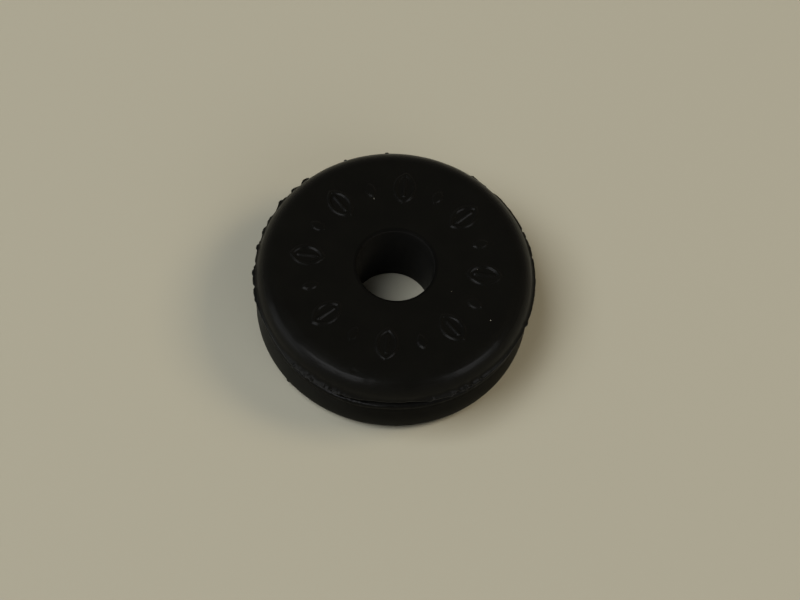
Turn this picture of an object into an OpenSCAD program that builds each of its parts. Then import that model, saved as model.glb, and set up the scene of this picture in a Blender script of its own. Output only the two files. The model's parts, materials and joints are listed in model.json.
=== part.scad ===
// Rubber panel grommet, moulded in one piece: two flanges with a panel groove
// between them, thin flash on the parting line and a plain bore for a cable.
// Millimetres, +Z up. The origin is on the bore's axis, at the foot.

/* [Flanges] */
// Diameter over the two flanges
flange_d = 30; // [28:0.5:40]
// Height of the lower flange, from the foot to the panel groove
lower_flange_t = 5.8; // [3:0.1:12]
// Height of the upper flange, from the panel groove to the flat top
upper_flange_t = 2.7; // [1.5:0.1:6]
// Radius of the shoulder round the flat top
top_edge_r = 2.5; // [0.5:0.1:2.5]
// Radius of the edge round the foot
foot_edge_r = 1.4; // [0.2:0.1:2.4]

/* [Panel groove] */
// Diameter of the groove's floor, which is the size of the panel's hole
groove_floor_d = 25; // [20:0.5:27]
// Width of the groove, which is the thickness of the panel
groove_w = 1.5; // [0.8:0.1:4]
// Radius in the two corners of the groove's floor
groove_corner_r = 0.3; // [0.1:0.05:0.35]
// Radius on the lower flange's upper lip
lip_r = 0.4; // [0.1:0.05:0.9]

/* [Bore] */
// Diameter of the bore
bore_d = 8.4; // [4:0.2:16]
// Radius on the two rims of the bore
bore_rim_r = 0.4; // [0.1:0.05:0.8]

/* [Moulding flash] */
// How far the thin flash stands out from the flange at the parting line
flash_reach = 0.3; // [0.1:0.05:0.8]
// Thickness of the flash
flash_t = 0.1; // [0.05:0.01:0.4]

/* [Hidden] */
$fn = 180;

// How far a cut runs past the surface that it opens
overrun = 1;

flange_r = flange_d / 2;
bore_r = bore_d / 2;
groove_floor_r = groove_floor_d / 2;
parting_z = lower_flange_t + groove_w;
top_z = parting_z + upper_flange_t;
// The shoulder ends above the flash
shoulder_r = min(top_edge_r, upper_flange_t - flash_t);

// What rounding takes off an outer corner at [0, 0] of a body that lies down and left of it
module corner_cut(radius) {
    translate([-radius, -radius])
        difference() {
            square(radius + overrun);
            circle(radius);
        }
}

// The groove's space, open outwards, with round corners at its floor
module groove_cut() {
    depth = flange_r - groove_floor_r;
    translate([groove_floor_r + groove_corner_r, 0])
        square([depth + overrun, groove_w]);
    translate([groove_floor_r, groove_corner_r])
        square([depth, groove_w - 2 * groove_corner_r]);
    for (corner_z = [groove_corner_r, groove_w - groove_corner_r])
        translate([groove_floor_r + groove_corner_r, corner_z])
            circle(groove_corner_r);
}

// Half of the grommet's cross-section: X is the distance from the axis and Y is the height
module section() {
    difference() {
        translate([bore_r, 0])
            square([flange_r - bore_r, top_z]);
        translate([flange_r, top_z])
            corner_cut(shoulder_r);
        translate([flange_r, 0])
            mirror([0, 1])
                corner_cut(foot_edge_r);
        translate([bore_r, top_z])
            mirror([1, 0])
                corner_cut(bore_rim_r);
        translate([bore_r, 0])
            rotate(180)
                corner_cut(bore_rim_r);
        translate([0, lower_flange_t])
            groove_cut();
        translate([flange_r, lower_flange_t])
            corner_cut(lip_r);
    }
    translate([groove_floor_r, parting_z])
        square([flange_r - groove_floor_r + flash_reach, flash_t]);
}

module grommet() {
    color("#1a1a18")
        rotate_extrude()
            section();
}

grommet();
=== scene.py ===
import json
import math

import bmesh
import bpy
from mathutils import Matrix, Vector, noise


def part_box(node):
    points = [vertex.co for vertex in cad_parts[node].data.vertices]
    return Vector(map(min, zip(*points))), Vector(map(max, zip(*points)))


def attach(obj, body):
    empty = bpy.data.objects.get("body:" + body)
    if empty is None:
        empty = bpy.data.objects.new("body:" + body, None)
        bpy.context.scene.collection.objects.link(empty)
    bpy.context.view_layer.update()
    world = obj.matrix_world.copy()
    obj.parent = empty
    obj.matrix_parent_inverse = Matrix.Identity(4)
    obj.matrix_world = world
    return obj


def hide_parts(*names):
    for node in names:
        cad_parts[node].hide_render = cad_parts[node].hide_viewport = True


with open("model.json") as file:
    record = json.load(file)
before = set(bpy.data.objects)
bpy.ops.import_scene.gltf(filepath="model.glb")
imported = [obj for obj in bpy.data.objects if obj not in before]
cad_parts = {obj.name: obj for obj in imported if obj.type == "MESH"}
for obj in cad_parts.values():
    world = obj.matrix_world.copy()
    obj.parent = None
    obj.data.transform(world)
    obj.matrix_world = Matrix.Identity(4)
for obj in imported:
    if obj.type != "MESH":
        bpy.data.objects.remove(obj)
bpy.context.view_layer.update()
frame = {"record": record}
_, NODE_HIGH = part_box("grommet")
MOUNTS = {mount["name"]: mount for mount in frame["record"]["mounts"]}

MM = 0.001
# Two places closer than this are the same place
TINY = 0.001 * MM
MERGE_DISTANCE = TINY / 2

# --- The moulding's section. The top, the bore's radius, the groove's middle and the outermost
# radius come from the frame. ---
TOP_Z = NODE_HIGH.z
BORE_R = MOUNTS["bore"]["dims"]["r_mm"] * MM
GROOVE_MIDDLE_Z = MOUNTS["panel_groove"]["pos_m"][2]
GROOVE_W = 1.5 * MM
GROOVE_LOW_Z = GROOVE_MIDDLE_Z - GROOVE_W / 2
PARTING_Z = GROOVE_MIDDLE_Z + GROOVE_W / 2
FLASH_T = 0.1 * MM
FLASH_TOP_Z = PARTING_Z + FLASH_T
FLASH_REACH = 0.3 * MM
FLANGE_R = NODE_HIGH.x - FLASH_REACH
GROOVE_FLOOR_R = 12.5 * MM
SHOULDER_R = 2.5 * MM
FOOT_EDGE_R = 1.4 * MM
LIP_R = 0.5 * MM
LIP_LOW_Z = GROOVE_LOW_Z - LIP_R
GROOVE_CORNER_R = 0.3 * MM
BORE_RIM_R = 0.4 * MM

# --- Steps in the section's roundings and cuts in its straight stretches ---
RIM_STEPS = 5
FOOT_STEPS = 8
LIP_STEPS = 5
GROOVE_CORNER_STEPS = 3
SHOULDER_STEPS = 30
WALL_CUTS = 4
BORE_CUTS = 3
# One sector is spun and then doubled until it goes all round, so SECTORS is a power of two
SECTORS = 8
STEPS_PER_SECTOR = 96
# The edge between two faces that turn by more than this is sharp
SHARP_ANGLE = math.radians(50)

# --- The ring of raised marks on the flat top: veined leaves with small plain leaves between. ---
MARK_COUNT = 16
MARK_RING_R = 9.6 * MM
MARK_BAND = 2.15 * MM
MARK_BAND_CUTS = 41
MARK_RELIEF = 0.24 * MM
MARK_SOFT_EDGE = 0.32 * MM
LEAF_HALF_L = 1.7 * MM
LEAF_HALF_W = 1.05 * MM
VEIN_HALF_L = 1.0 * MM
SMALL_LEAF_SHARE = 0.6
# The share of the relief that wear has left, and how it varies: (share, waves per mm)
MARK_LEFT = 0.85
MARK_LEFT_WAVES = [(0.4, 0.6)]

# --- The ragged flash: (azimuth in degrees, reach in mm), joined by straight slopes. ---
FLASH_SLOPES = [
    (-180, 0.3), (-168, 0.44), (-161, 0.4), (-152, 0.3), (-144, 0.22), (-136, 0.3), (-132, 0.46),
    (-108, 0.46), (-101, 0.3), (-94, 0.16), (-76, 0.12), (-70, 0.34), (-60, 0.42), (-47, 0.42),
    (-24, 0.3), (-17, 0.34), (0, 0.37), (10, 0.39), (20, 0.41), (42, 0.41), (46, 0.45), (49.5, 0.38),
    (51.5, 0.2), (53.5, 0.24), (54.6, 0.44), (56.5, 0.38), (58, 0.4), (61.4, 0.56), (63, 0.3),
    (75, 0.24), (125, 0.2), (133.3, 0.2), (134.4, 0.52), (136.8, 0.54), (138.7, 0.24), (139.3, 0.25),
    (140.2, 0.37), (142.6, 0.5), (143.4, 0.46), (144.2, 0.22), (147.8, 0.35), (149, 0.39),
    (149.8, 0.57), (151, 0.56), (152, 0.43), (154, 0.25), (157, 0.24), (180, 0.3),
]
# Torn teeth and notches: (azimuth in degrees, reach in mm, half of the width in degrees).
FLASH_TEETH = [
    (-128.6, 0.62, 0.9), (-122, 0.6, 1.0), (-119.3, 0.66, 0.8), (-113.9, 0.58, 0.7),
    (-70, 0.42, 1.0), (-61.4, 0.55, 0.8), (-54.5, 0.56, 0.6), (-15.2, 0.42, 1.0),
    (99, 0.62, 1.3), (116.5, 0.56, 1.0), (160, 0.36, 2.4), (165.5, 0.4, 2.2), (173.5, 0.46, 1.5),
    (185.5, 0.5, 1.4), (189, 0.43, 1.3), (195.5, 0.46, 2.0), (198, 0.5, 1.0),
]
FLASH_NOTCHES = [
    (-139.5, 0.26, 2.4), (-125.5, 0.42, 0.9), (-116.5, 0.4, 0.8), (-110.5, 0.28, 1.0),
    (-105.5, 0.34, 0.8), (-58, 0.2, 1.0), (-52, 0.18, 0.8), (-47, 0.22, 0.7), (-17, 0.26, 0.8),
    (16, 0.3, 0.7), (25.2, 0.33, 0.7), (29, 0.28, 0.8), (155.8, 0.2, 1.4), (169.5, 0.22, 1.6),
    (181.5, 0.2, 1.2), (192, 0.27, 1.0),
]
# The sides of a tooth or notch are this many times as steep as if it came to a point
TOOTH_STEEPNESS = 2
# The flash stands out by at least this many mm
LEAST_REACH = 0.04
# Small unevenness of the reach: (size in mm, waves per mm)
REACH_WAVES = [(0.035, 1.1), (0.03, 3.1)]
# How the flash's edge curls up and down: (size in mm, waves per radius of the flange)
CURL_WAVES = [(0.06, 14), (0.03, 38)]
# Height over which the foot of the shoulder flares out into the flash
FLARE_H = 0.65 * MM
# The flash and its flare are shaped outside this distance from the axis and below this height
FLARE_INNER_R = FLANGE_R - 0.1 * MM
FLARE_HIGH_Z = PARTING_Z + FLARE_H * 1.6
# Nibs on top of the flash: (azimuth in degrees, distance from the axis, height and radius in mm)
FLASH_NIBS = [
    (-128.6, 15.4, 0.12, 0.25), (-125.5, 15.22, 0.1, 0.2), (-122.1, 15.25, 0.12, 0.22),
    (-119.3, 15.5, 0.12, 0.25), (-113.9, 15.35, 0.1, 0.22), (-108.5, 15.2, 0.08, 0.2),
    (-69, 15.25, 0.1, 0.25), (-61.4, 15.3, 0.09, 0.2), (-54.5, 15.3, 0.09, 0.2),
]

# --- The shoulder: low waves all round, a faint ridge in places and small dents. A tilt is the
# angle in degrees by which its surface leans outwards, from 0 at the flat top. ---
WAVE_H = 0.014 * MM
# (share of the waves' height, waves per mm)
SHOULDER_WAVES = [(1, 0.45), (0.5, 1.1)]
# The waves grow from nothing at the flat top to their height at this tilt
WAVE_FULL_TILT = 12
RIDGE_TILT = 35.5
RIDGE_HALF_TILT = 7.0
RIDGE_H = 0.022 * MM
# How the ridge wanders up and down: (size in degrees of tilt, waves per mm)
RIDGE_DRIFT_WAVES = [(2.0, 0.8)]
# Stretches of the ridge, (first azimuth, last azimuth), and their soft ends, in degrees
RIDGES = [(-134, -96), (-62, -29)]
RIDGE_FADE_IN = 6
RIDGE_FADE_OUT = 3
# (azimuth, tilt, depth in mm, half length round in mm, half width across in mm)
DENTS = [(-103.4, 23, 0.05, 0.75, 0.3), (-32.3, 57, 0.04, 0.5, 0.3)]

# --- The lower flange's lip is slightly uneven: (size in mm, waves per mm). ---
LIP_WAVES = [(0.05, 1.3), (0.04, 3.7)]
# The shares of that unevenness that move the lip outwards and upwards
LIP_SHARE_OUT = 0.6
LIP_SHARE_UP = 0.8

# --- The torn flash and the lip below it sag between two azimuths in degrees. ---
SAG_FROM = -146
SAG_TO = -88
SAG_FADE = 12
FLASH_SAG = 0.18 * MM
LIP_SAG = 0.33 * MM

# --- A nib that sticks out of the foot's edge, at an azimuth in degrees ---
FOOT_NIB_AZIMUTH = -133.5
FOOT_NIB_Z = 0.8 * MM
FOOT_NIB_H = 0.16 * MM
FOOT_NIB_R = 0.4 * MM

# --- The rubber's finishes, by their places in the moulding's list of materials ---
# The third finish is painted a shade paler: painted light in the groove and the bore.
GLOSSY, DULL, PAINTED_LIGHT_RECESS = 0, 1, 2
# Moulded rubber's grain is finer than 0.1 mm. It is drawn this coarse so that it shows.
GRAIN = 0.22 * MM
GRAIN_H = 0.009 * MM
# The size of the patches in which the black and the gloss vary, and by how much the gloss does
PATCH = 2.6 * MM
PATCH_ROUGHNESS = 0.03
# Most of a noise texture lies between these
NOISE_LOW, NOISE_HIGH = 0.3, 0.7
# The glossy finish's roughness: (distance from the parting line, roughness)
GLOSSY_ROUGHNESS = [(0.25 * MM, 0.34), (0.5 * MM, 0.38), (1.6 * MM, 0.36), (2.05 * MM, 0.24)]
# The dull wall is painted paler round an azimuth in degrees, a painted reflection of the light on
# that side. It begins to be paler where it lies this far out towards there.
SHEEN_PAINTED_AZIMUTH = -129
SHEEN_PAINTED_FROM = FLANGE_R * 0.8
SHEEN_PAINTED_COLOUR = "#191918"
# Towards the foot the wall turns to this paler colour, a painted reflection of the pale floor,
# from the upper height down to the lower one
FOOT_SHEEN_COLOUR = "#20201d"
FOOT_SHEEN_COLOUR_LOW_Z = FOOT_EDGE_R / 2
FOOT_SHEEN_COLOUR_HIGH_Z = FOOT_EDGE_R * 2.8
# Pale specks on the flat top: (azimuth in degrees, distance from the axis in mm, radius in mm).
# The first is a dust speck; the other three are only pale dots, two of them in the ring of marks.
SPECKS = [(-26.8, 12.02, 0.055), (112, 8.5, 0.04), (-21.5, 6.74, 0.035), (3.6, 8.84, 0.03)]
SPECK_COLOUR = "#8c8a80"

# --- Camera, floor and room ---
CAMERA_ELEVATION = math.radians(62.33)
CAMERA_ROLL = math.radians(6.42)
CAMERA_DISTANCE = 291.3 * MM
CAMERA_ASIDE = 0.87 * MM
CAMERA_UP = 0.93 * MM
LENS_MM = 117.85
SENSOR_MM = 36.0
FLOOR_HALF_W = 6
# The room's strength at the horizon and overhead, and the height of a direction of length 1 from
# which it is as dim as overhead
ROOM_AT_HORIZON = 0.25
ROOM_OVERHEAD = 0.05
ROOM_DIM_FROM = 0.7


def srgb(hex_code):
    """A colour written as sRGB hex, as the linear RGBA that the shaders take."""
    parts = [int(hex_code[i:i + 2], 16) / 255 for i in (1, 3, 5)]
    linear = [c / 12.92 if c <= 0.04045 else ((c + 0.055) / 1.055) ** 2.4 for c in parts]
    return (*linear, 1.0)


def smooth_step(low, high, value):
    """0 below low, 1 above high and an even S between them."""
    t = min(max((value - low) / (high - low), 0.0), 1.0)
    return t * t * (3 - 2 * t)


def soft_stretch(first, last, fade_in, fade_out, value):
    """1 between first and last and 0 outside them, with a soft end inside each."""
    return smooth_step(first, first + fade_in, value) * (1 - smooth_step(last - fade_out, last, value))


def uneven(place, waves):
    """Smooth unevenness at a place, from a list of (size, waves in a length of 1)."""
    return sum(size * noise.noise(place * rate) for size, rate in waves)


def outward_at(azimuth):
    """The level direction at an azimuth in degrees."""
    around = math.radians(azimuth)
    return Vector((math.cos(around), math.sin(around), 0))


def azimuth_of(place):
    """The azimuth of a place or direction, in degrees."""
    return math.degrees(math.atan2(place.y, place.x))


# --- The moulding ---------------------------------------------------------

def section_corners():
    """The half section's corners: (distance from the axis, height, rounding, steps in it)."""
    flash_underside = [
        (FLANGE_R + FLASH_REACH * share, PARTING_Z, 0, 0) for share in (0, 0.5, 1)]
    flash_top = [
        (FLANGE_R + FLASH_REACH * share, FLASH_TOP_Z, 0, 0) for share in (1, 0.75, 0.5, 0.25, 0)]
    return [
        (BORE_R, 0, BORE_RIM_R, RIM_STEPS),
        (FLANGE_R, 0, FOOT_EDGE_R, FOOT_STEPS),
        (FLANGE_R, GROOVE_LOW_Z, LIP_R, LIP_STEPS),
        (GROOVE_FLOOR_R, GROOVE_LOW_Z, GROOVE_CORNER_R, GROOVE_CORNER_STEPS),
        (GROOVE_FLOOR_R, PARTING_Z, GROOVE_CORNER_R, GROOVE_CORNER_STEPS),
        *flash_underside,
        *flash_top,
        (FLANGE_R, TOP_Z, SHOULDER_R, SHOULDER_STEPS),
        (MARK_RING_R + MARK_BAND, TOP_Z, 0, 0),
        (MARK_RING_R - MARK_BAND, TOP_Z, 0, 0),
        (BORE_R, TOP_Z, BORE_RIM_R, RIM_STEPS),
    ]


def cut_straight(bm, low, high, cuts):
    """Cuts the outline's straight stretch between two points: (distance from the axis, height)."""
    stretch = [
        edge for edge in bm.edges
        if all(low[0] - TINY < vert.co.x < high[0] + TINY for vert in edge.verts)
        and all(low[1] - TINY < vert.co.z < high[1] + TINY for vert in edge.verts)]
    bmesh.ops.subdivide_edges(bm, edges=stretch, cuts=cuts)


def make_section(bm):
    """The half section's outline, with round corners and with the rings that the marks need."""
    corners = section_corners()
    sharp = [bm.verts.new((radius, 0, z)) for radius, z, _, _ in corners]
    bm.faces.new(sharp)
    for vert, (_, _, rounding, steps) in zip(sharp, corners):
        if rounding:
            bmesh.ops.bevel(
                bm, geom=[vert], affect="VERTICES", offset=rounding, offset_type="OFFSET",
                segments=steps, profile=0.5, material=-1)
    bmesh.ops.delete(bm, geom=bm.faces[:], context="FACES_ONLY")
    cut_straight(
        bm, (MARK_RING_R - MARK_BAND, TOP_Z), (MARK_RING_R + MARK_BAND, TOP_Z), MARK_BAND_CUTS)
    cut_straight(bm, (FLANGE_R, FOOT_EDGE_R), (FLANGE_R, LIP_LOW_Z), WALL_CUTS)
    cut_straight(bm, (BORE_R, BORE_RIM_R), (BORE_R, TOP_Z - BORE_RIM_R), BORE_CUTS)


def spin_round(bm):
    """Spins the outline through one sector, copies that round the axis and closes the seams."""
    sector = 2 * math.pi / SECTORS
    bmesh.ops.spin(
        bm, geom=bm.verts[:] + bm.edges[:], cent=(0, 0, 0), axis=(0, 0, 1), dvec=(0, 0, 0),
        angle=sector, steps=STEPS_PER_SECTOR, use_merge=False, use_duplicate=False)
    turned = 1
    while turned < SECTORS:
        copy = bmesh.ops.duplicate(bm, geom=bm.verts[:] + bm.edges[:] + bm.faces[:])
        bmesh.ops.rotate(
            bm, verts=[v for v in copy["geom"] if isinstance(v, bmesh.types.BMVert)],
            cent=(0, 0, 0), matrix=Matrix.Rotation(sector * turned, 3, "Z"))
        turned *= 2
    bmesh.ops.remove_doubles(bm, verts=bm.verts[:], dist=MERGE_DISTANCE)
    bmesh.ops.recalc_face_normals(bm, faces=bm.faces[:])


def leaf_edge_distance(along, across, size):
    """Distance from a leaf's pointed outline, less than 0 inside it."""
    half_l, half_w = LEAF_HALF_L * size, LEAF_HALF_W * size
    arc_r = (half_l ** 2 + half_w ** 2) / (2 * half_w)
    return math.hypot(along, across + arc_r - half_w) - arc_r


def mark_relief(x, y):
    """Height of the raised, slightly worn marks above the flat top at a place on it."""
    pitch = 2 * math.pi / MARK_COUNT
    index = round(math.atan2(y, x) / pitch)
    turn = math.atan2(y, x) - index * pitch
    radius = math.hypot(x, y)
    along, across = radius * math.cos(turn) - MARK_RING_R, abs(radius * math.sin(turn))
    relief = MARK_RELIEF * (MARK_LEFT + uneven(Vector((x, y, 0)) / MM, MARK_LEFT_WAVES))
    if index % 2:
        edge = leaf_edge_distance(along, across, SMALL_LEAF_SHARE)
        return relief * (1 - smooth_step(-MARK_SOFT_EDGE, 0, edge))
    outline = abs(leaf_edge_distance(along, across, 1))
    vein = math.hypot(max(abs(along) - VEIN_HALF_L, 0), across)
    return relief * (1 - smooth_step(0, MARK_SOFT_EDGE, min(outline, vein)))


def flash_reach(azimuth):
    """How far the ragged flash stands out at an azimuth in degrees."""
    azimuth = (azimuth + 180) % 360 - 180
    for (a, reach_a), (b, reach_b) in zip(FLASH_SLOPES, FLASH_SLOPES[1:]):
        if a <= azimuth <= b:
            reach = reach_a + (reach_b - reach_a) * (azimuth - a) / (b - a)
    reach += uneven(outward_at(azimuth) * FLANGE_R / MM, REACH_WAVES)
    for centre, tip, half_width in FLASH_TEETH + FLASH_NOTCHES:
        away = abs((azimuth - centre + 180) % 360 - 180) / half_width
        if away < 1:
            reach += (tip - reach) * min(TOOTH_STEEPNESS * (1 - away), 1)
    return max(reach, LEAST_REACH) * MM


def sag_share(place):
    """1 where the flash and the lip sag, 0 elsewhere, with soft ends."""
    return soft_stretch(SAG_FROM, SAG_TO, SAG_FADE, SAG_FADE, azimuth_of(place))


def shape_flash(vert, outward):
    """Lays the ragged flash's underside, and flares the foot of the shoulder out into its top. The
    flare stands out with the cube of the way down it, so that the flash's edge stays thin."""
    reach = flash_reach(azimuth_of(outward))
    curl = uneven(outward, CURL_WAVES) * MM
    sag = FLASH_SAG * sag_share(outward)
    radius, z = vert.co.to_2d().length, vert.co.z
    if z < PARTING_Z + FLASH_T / 2:
        share = (radius - FLANGE_R) / FLASH_REACH
        new_z = z + curl * share - sag * share ** 2
        vert.co = outward * (FLANGE_R + reach * share) + Vector((0, 0, new_z))
        return
    from_tip = FLANGE_R + FLASH_REACH - radius + z - FLASH_TOP_Z
    share = 1 - from_tip / (FLARE_H + FLASH_REACH)
    if share > 0:
        new_z = FLASH_TOP_Z + FLARE_H * (1 - share) + curl * share - sag * share ** 2
        rise = max(new_z - (TOP_Z - SHOULDER_R), 0)
        shoulder = FLANGE_R - SHOULDER_R + math.sqrt(SHOULDER_R ** 2 - rise ** 2)
        vert.co = outward * (shoulder + reach * share ** 3) + Vector((0, 0, new_z))
        raise_flash_nibs(vert)


def raise_flash_nibs(vert):
    """Lifts the flash's top where it has nibs."""
    for azimuth, distance, height, size in FLASH_NIBS:
        nib = outward_at(azimuth).to_2d() * distance * MM
        away = (vert.co.to_2d() - nib).length
        vert.co.z += height * MM * (1 - smooth_step(0, size * MM, away))


def shape_shoulder(vert, outward):
    """Gives the shoulder its low waves, its faint ridge and its dents."""
    sideways = vert.co.to_2d().length - (FLANGE_R - SHOULDER_R)
    tilt = math.degrees(math.atan2(sideways, vert.co.z - (TOP_Z - SHOULDER_R)))
    azimuth = azimuth_of(outward)
    place = vert.co / MM
    height = WAVE_H * smooth_step(0, WAVE_FULL_TILT, tilt) * uneven(place, SHOULDER_WAVES)
    drift = uneven(place, RIDGE_DRIFT_WAVES)
    across = 1 - smooth_step(0, RIDGE_HALF_TILT, abs(tilt - RIDGE_TILT - drift))
    for first, last in RIDGES:
        along = soft_stretch(first, last, RIDGE_FADE_IN, RIDGE_FADE_OUT, azimuth)
        height += RIDGE_H * along * across
    for dent_azimuth, dent_tilt, depth, half_length, half_width in DENTS:
        round_it = math.radians(azimuth - dent_azimuth) * FLANGE_R / MM / half_length
        across_it = math.radians(tilt - dent_tilt) * SHOULDER_R / MM / half_width
        height -= depth * MM * (1 - smooth_step(0, 1, math.hypot(round_it, across_it)))
    lean = math.radians(tilt)
    vert.co += height * (outward * math.sin(lean) + Vector((0, 0, math.cos(lean))))


def shape_lip(vert, outward):
    """Makes the lip slightly uneven and lets it sag below the torn flash."""
    rough = uneven(vert.co / MM, LIP_WAVES)
    vert.co += outward * rough * MM * LIP_SHARE_OUT
    vert.co.z += rough * MM * LIP_SHARE_UP - LIP_SAG * sag_share(outward)


def push_out_foot_nib(vert, outward):
    """Pushes the foot's edge out where it has its nib."""
    nib = outward_at(FOOT_NIB_AZIMUTH) * FLANGE_R
    away = (vert.co - nib - Vector((0, 0, FOOT_NIB_Z))).length
    vert.co += outward * FOOT_NIB_H * (1 - smooth_step(0, FOOT_NIB_R, away))


def shape_surface(bm):
    """Raises the marks, tears the flash and gives the moulded faces their slight unevenness."""
    for vert in bm.verts:
        x, y, z = vert.co
        radius = math.hypot(x, y)
        outward = Vector((x / radius, y / radius, 0))
        if radius > FLARE_INNER_R and PARTING_Z - TINY < z < FLARE_HIGH_Z:
            shape_flash(vert, outward)
        elif radius > FLANGE_R - SHOULDER_R and z > TOP_Z - SHOULDER_R:
            shape_shoulder(vert, outward)
        elif z > TOP_Z - TINY and abs(radius - MARK_RING_R) < MARK_BAND + TINY:
            vert.co.z += mark_relief(x, y)
        elif z < FOOT_EDGE_R + FOOT_NIB_R:
            push_out_foot_nib(vert, outward)
        elif LIP_LOW_Z - TINY < z < GROOVE_LOW_Z + TINY and radius > FLANGE_R - LIP_R - TINY:
            shape_lip(vert, outward)


def finish_at(centre):
    """Which finish a face has, by its centre. The groove and the bore get the finish painted a shade
    paler, painted light in these recesses; the bore's rims and all that is below the lip are dull,
    and the rest is glossy. The groove's upper side lies right at the limit, PARTING_Z, so a last
    digit decides which of its faces are painted paler and which glossy."""
    radius, z = centre.to_2d().length, centre.z
    in_groove = GROOVE_LOW_Z - LIP_R / 2 < z < PARTING_Z and radius < FLANGE_R - LIP_R / 2
    in_bore = radius < BORE_R + BORE_RIM_R / 4
    if in_groove or in_bore:
        return PAINTED_LIGHT_RECESS
    below_lip = z < LIP_LOW_Z - LIP_SAG * sag_share(centre)
    on_rim = radius < BORE_R + BORE_RIM_R
    return DULL if below_lip or on_rim else GLOSSY


def make_moulding():
    """The whole grommet, one closed skin."""
    bm = bmesh.new()
    make_section(bm)
    spin_round(bm)
    shape_surface(bm)
    for face in bm.faces:
        face.smooth = True
        face.material_index = finish_at(face.calc_center_median())
    for edge in bm.edges:
        if edge.calc_face_angle(0) > SHARP_ANGLE:
            edge.smooth = False
    mesh = bpy.data.meshes.new("grommet_moulding")
    bm.to_mesh(mesh)
    bm.free()
    moulding = bpy.data.objects.new("grommet_moulding", mesh)
    bpy.context.scene.collection.objects.link(moulding)
    mesh.materials.append(glossy_moulded_rubber())
    mesh.materials.append(dull_moulded_rubber())
    mesh.materials.append(recess_rubber_painted_light())
    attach(moulding, "root")
    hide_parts("grommet")


# --- Materials ------------------------------------------------------------

def with_empty_nodes(owner):
    """A new material or world, given an empty node tree."""
    owner.use_nodes = True
    owner.node_tree.nodes.clear()
    return owner


def add_node(owner, kind, settings=None, inputs=None):
    """Adds a node with its settings to a material or world. Each input, by its name or by its
    number where names repeat, is set to a value or linked from another node's socket."""
    node = owner.node_tree.nodes.new(kind)
    for name, value in (settings or {}).items():
        setattr(node, name, value)
    for name, value in (inputs or {}).items():
        if isinstance(value, bpy.types.NodeSocket):
            owner.node_tree.links.new(value, node.inputs[name])
        else:
            node.inputs[name].default_value = value
    return node


def black_rubber(name, darkest, lightest, specular_level, roughness, dress=None):
    """Carbon-black rubber with a moulded grain, and with a black and a gloss that vary in patches.
    Roughness is a number, or a function that adds the nodes for one that depends on the place.
    Dress is a function that changes the colour in places."""
    material = with_empty_nodes(bpy.data.materials.new(name))
    place = add_node(material, "ShaderNodeTexCoord").outputs["Object"]
    grain = add_node(
        material, "ShaderNodeTexNoise", {},
        {"Vector": place, "Scale": 1 / GRAIN, "Detail": 2.0, "Roughness": 0.6})
    patches = add_node(
        material, "ShaderNodeTexNoise", {},
        {"Vector": place, "Scale": 1 / PATCH, "Detail": 3.0, "Roughness": 0.5})
    black = add_node(
        material, "ShaderNodeMix", {"data_type": "RGBA"},
        {"Factor": patches.outputs["Fac"], "A": srgb(darkest), "B": srgb(lightest)})
    colour = black.outputs["Result"]
    if dress:
        colour = dress(material, place, colour)
    if callable(roughness):
        roughness = roughness(material, place)
    patchy = add_node(
        material, "ShaderNodeMapRange", {},
        {"Value": patches.outputs["Fac"], "From Min": NOISE_LOW, "From Max": NOISE_HIGH,
         "To Min": -PATCH_ROUGHNESS, "To Max": PATCH_ROUGHNESS})
    total = add_node(
        material, "ShaderNodeMath", {"operation": "ADD"},
        {0: patchy.outputs["Result"], 1: roughness})
    bump = add_node(
        material, "ShaderNodeBump", {},
        {"Height": grain.outputs["Fac"], "Strength": 1.0, "Distance": GRAIN_H})
    shader = add_node(
        material, "ShaderNodeBsdfPrincipled", {},
        {"Base Color": colour, "Roughness": total.outputs["Value"], "IOR": 1.5,
         "Specular IOR Level": specular_level, "Normal": bump.outputs["Normal"]})
    add_node(material, "ShaderNodeOutputMaterial", {}, {"Surface": shader.outputs["BSDF"]})
    return material


def roughness_near_parting(material, place):
    """The glossy finish's roughness, by the distance from the parting line."""
    height = add_node(material, "ShaderNodeSeparateXYZ", {}, {"Vector": place})
    above = add_node(
        material, "ShaderNodeMath", {"operation": "SUBTRACT"},
        {0: height.outputs["Z"], 1: PARTING_Z})
    away = add_node(
        material, "ShaderNodeMath", {"operation": "ABSOLUTE"}, {0: above.outputs["Value"]})
    share = add_node(
        material, "ShaderNodeMath", {"operation": "DIVIDE"},
        {0: away.outputs["Value"], 1: TOP_Z - PARTING_Z})
    ramp = add_node(material, "ShaderNodeValToRGB", {}, {"Fac": share.outputs["Value"]})
    stops = ramp.color_ramp.elements
    for index, (distance, value) in enumerate(GLOSSY_ROUGHNESS):
        position = distance / (TOP_Z - PARTING_Z)
        stop = stops[index] if index < len(stops) else stops.new(position)
        stop.position = position
        stop.color = (value, value, value, 1)
    return ramp.outputs["Color"]


def add_specks(material, place, colour):
    """Turns the colour pale in a few small spots on the flat top."""
    for azimuth, distance, radius in SPECKS:
        speck = outward_at(azimuth) * distance * MM + Vector((0, 0, TOP_Z))
        away = add_node(
            material, "ShaderNodeVectorMath", {"operation": "DISTANCE"}, {0: place, 1: speck})
        inside = add_node(
            material, "ShaderNodeMath", {"operation": "LESS_THAN"},
            {0: away.outputs["Value"], 1: radius * MM})
        dusted = add_node(
            material, "ShaderNodeMix", {"data_type": "RGBA"},
            {"Factor": inside.outputs["Value"], "A": colour, "B": srgb(SPECK_COLOUR)})
        colour = dusted.outputs["Result"]
    return colour


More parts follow.
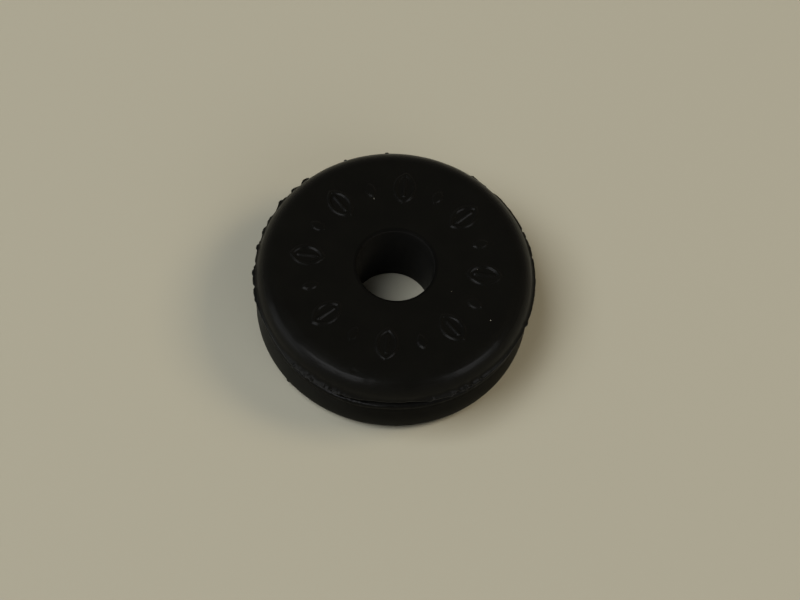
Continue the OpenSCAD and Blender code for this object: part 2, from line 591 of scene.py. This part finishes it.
def paint_sheen_on_wall(material, place, colour):
    """Paints the colour paler down one side of the wall and towards the foot: painted reflections of
    the light on that side and of the pale floor."""
    towards = add_node(
        material, "ShaderNodeVectorMath", {"operation": "DOT_PRODUCT"},
        {0: place, 1: outward_at(SHEEN_PAINTED_AZIMUTH)})
    side = add_node(
        material, "ShaderNodeMapRange", {"interpolation_type": "SMOOTHSTEP"},
        {"Value": towards.outputs["Value"], "From Min": SHEEN_PAINTED_FROM, "From Max": FLANGE_R,
         "To Min": 0, "To Max": 1})
    side_sheen = add_node(
        material, "ShaderNodeMix", {"data_type": "RGBA"},
        {"Factor": side.outputs["Result"], "A": colour, "B": srgb(SHEEN_PAINTED_COLOUR)})
    height = add_node(material, "ShaderNodeSeparateXYZ", {}, {"Vector": place})
    low = add_node(
        material, "ShaderNodeMapRange", {"interpolation_type": "SMOOTHSTEP"},
        {"Value": height.outputs["Z"], "From Min": FOOT_SHEEN_COLOUR_LOW_Z,
         "From Max": FOOT_SHEEN_COLOUR_HIGH_Z, "To Min": 1, "To Max": 0})
    pale = add_node(
        material, "ShaderNodeMix", {"data_type": "RGBA"},
        {"Factor": low.outputs["Result"], "A": side_sheen.outputs["Result"], "B": srgb(FOOT_SHEEN_COLOUR)})
    return pale.outputs["Result"]


def glossy_moulded_rubber():
    """The finish of the upper flange and of the lip's outer part, pressed in a smooth cavity: narrow
    soft highlights on black, which are wider within 2 mm of the parting line."""
    return black_rubber(
        "glossy_moulded_rubber", darkest="#0d0d0c", lightest="#11110f", specular_level=0.08,
        roughness=roughness_near_parting, dress=add_specks)


def dull_moulded_rubber():
    """The finish below the lip and on the bore's rims, pressed in coarser steel: black with almost
    no gloss, painted paler down one side and towards the foot as painted reflections."""
    return black_rubber(
        "dull_moulded_rubber", darkest="#0b0b0a", lightest="#0e0e0d", specular_level=0.011,
        roughness=0.4, dress=paint_sheen_on_wall)


def recess_rubber_painted_light():
    """Rubber painted a shade paler in the groove and the bore: painted light in these recesses."""
    return black_rubber(
        "recess_rubber_painted_light", darkest="#181817", lightest="#1c1c1b", specular_level=0.03,
        roughness=0.5)


def pale_matt_floor():
    """A matt pale beige floor that hardly reflects."""
    material = with_empty_nodes(bpy.data.materials.new("pale_matt_floor"))
    shader = add_node(
        material, "ShaderNodeBsdfPrincipled", {},
        {"Base Color": srgb("#afad9f"), "Roughness": 0.8, "Specular IOR Level": 0.1})
    add_node(material, "ShaderNodeOutputMaterial", {}, {"Surface": shader.outputs["BSDF"]})
    return material


# --- Camera, floor, lamps and room ------------------------------------------

def make_camera():
    """A long lens that looks down on the grommet, turned a little about its own line of sight."""
    back = Vector((0, -math.cos(CAMERA_ELEVATION), math.sin(CAMERA_ELEVATION)))
    up = Vector((0, math.sin(CAMERA_ELEVATION), math.cos(CAMERA_ELEVATION)))
    data = bpy.data.cameras.new("camera")
    data.lens = LENS_MM
    data.sensor_width = SENSOR_MM
    data.clip_start = 0.01
    data.clip_end = 20
    camera = bpy.data.objects.new("camera", data)
    camera.location = back * CAMERA_DISTANCE + Vector((CAMERA_ASIDE, 0, 0)) + up * CAMERA_UP
    level = (-back).to_track_quat("-Z", "Y").to_matrix()
    camera.rotation_euler = (level @ Matrix.Rotation(CAMERA_ROLL, 3, "Z")).to_euler()
    bpy.context.scene.collection.objects.link(camera)
    bpy.context.scene.camera = camera


def make_floor():
    """A wide plain floor under the foot."""
    bm = bmesh.new()
    bmesh.ops.create_grid(bm, x_segments=1, y_segments=1, size=FLOOR_HALF_W)
    mesh = bpy.data.meshes.new("floor")
    bm.to_mesh(mesh)
    bm.free()
    floor = bpy.data.objects.new("floor", mesh)
    bpy.context.scene.collection.objects.link(floor)
    mesh.materials.append(pale_matt_floor())


def add_lamp(name, azimuth, elevation, distance, size, radiance, colour, mirrored=False):
    """A soft box, of a width and a height in metres, that faces the origin from a direction in
    degrees. It lights matt surfaces, or it is only mirrored in glossy ones."""
    above = math.radians(elevation)
    outward = outward_at(azimuth) * math.cos(above) + Vector((0, 0, math.sin(above)))
    width, height = size
    data = bpy.data.lights.new(name, "AREA")
    data.shape = "RECTANGLE"
    data.size = width
    data.size_y = height
    data.energy = radiance * math.pi * width * height
    data.color = srgb(colour)[:3]
    lamp = bpy.data.objects.new(name, data)
    lamp.location = outward * distance
    lamp.rotation_euler = outward.to_track_quat("Z", "Y").to_euler()
    lamp.visible_diffuse = not mirrored
    lamp.visible_glossy = mirrored
    lamp.visible_camera = False
    bpy.context.scene.collection.objects.link(lamp)


def light_scene():
    """Three large panels light the scene. A window, its sill and two boxes are mirrored in the
    gloss."""
    add_lamp(
        "panel_left", azimuth=197, elevation=62, distance=1.5, size=(0.92, 0.92),
        radiance=6.1, colour="#fbfcfb")
    add_lamp(
        "panel_right", azimuth=12, elevation=47, distance=1.8, size=(0.66, 0.66),
        radiance=8.0, colour="#ffe9c4")
    add_lamp(
        "panel_front", azimuth=-50, elevation=38, distance=2.1, size=(1.3, 1.3),
        radiance=1.2, colour="#fffdf8")
    add_lamp(
        "window_left", azimuth=-163, elevation=11, distance=0.8, size=(0.50, 0.52),
        radiance=1.4, colour="#f6faff", mirrored=True)
    add_lamp(
        "window_sill_left", azimuth=-156, elevation=2, distance=0.79, size=(0.50, 0.10),
        radiance=1.5, colour="#f6faff", mirrored=True)
    add_lamp(
        "box_front_left", azimuth=-125, elevation=38, distance=0.6, size=(0.40, 0.30),
        radiance=3.8, colour="#fbfcff", mirrored=True)
    add_lamp(
        "box_front_right", azimuth=-28, elevation=29, distance=0.6, size=(0.31, 0.27),
        radiance=2.9, colour="#fbfcff", mirrored=True)


def make_room():
    """A dim warm room round the scene, darker overhead."""
    world = with_empty_nodes(bpy.data.worlds.new("room"))
    bpy.context.scene.world = world
    direction = add_node(world, "ShaderNodeTexCoord").outputs["Generated"]
    height = add_node(world, "ShaderNodeSeparateXYZ", {}, {"Vector": direction})
    strength = add_node(
        world, "ShaderNodeMapRange", {"interpolation_type": "SMOOTHSTEP"},
        {"Value": height.outputs["Z"], "From Min": 0.0, "From Max": ROOM_DIM_FROM,
         "To Min": ROOM_AT_HORIZON, "To Max": ROOM_OVERHEAD})
    background = add_node(
        world, "ShaderNodeBackground", {},
        {"Color": srgb("#fff4e2"), "Strength": strength.outputs["Result"]})
    add_node(world, "ShaderNodeOutputWorld", {}, {"Surface": background.outputs["Background"]})


make_camera()
make_moulding()
make_floor()
light_scene()
make_room()
bpy.context.scene.view_settings.view_transform = "Standard"
